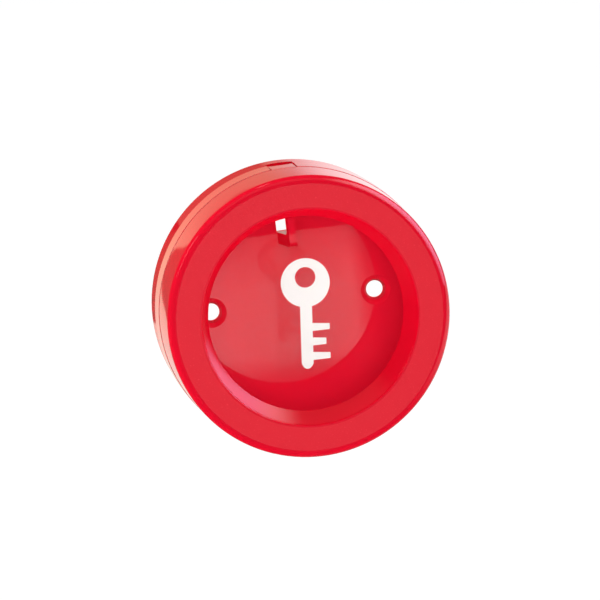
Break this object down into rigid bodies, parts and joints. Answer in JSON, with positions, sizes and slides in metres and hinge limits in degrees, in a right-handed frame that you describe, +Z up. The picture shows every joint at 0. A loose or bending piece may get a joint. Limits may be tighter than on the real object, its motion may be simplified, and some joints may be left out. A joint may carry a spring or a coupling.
{
  "type": "break-glass key box",
  "caption": "Shallow round wall box with a push-fit front cap, a dished window holding a round glass pane, a moulded key hook inside and countersunk wall screw holes.",
  "frame": {"origin": "centre of the box on the wall plane", "axes": "the front faces -Y, +X is right as seen from the front, +Z up"},
  "size_m": [0.0866, 0.038, 0.0865],
  "materials": {
    "base_plastic": "moulded red plastic, semi-gloss",
    "cap_plastic": "moulded red plastic, glossy with a fine-textured front face",
    "pane_glass": "clear, polished"
  },
  "bodies": {
    "base": {"base": "base_plastic"},
    "cap": {"front_cap": "cap_plastic"},
    "pane": {"glass_pane": "pane_glass"}
  },
  "joints": [
    {"name": "cap_pull", "type": "slide", "parent": "base", "child": "cap", "axis": [0, -1, 0], "range_m": [0, 0.06]},
    {"name": "glass_lift", "type": "slide", "parent": "base", "child": "pane", "axis": [0, -1, 0], "range_m": [0, 0.03]}
  ],
  "couplings": [
    {"joint": "glass_lift", "follows": "cap_pull", "ratio": 0.5}
  ]
}
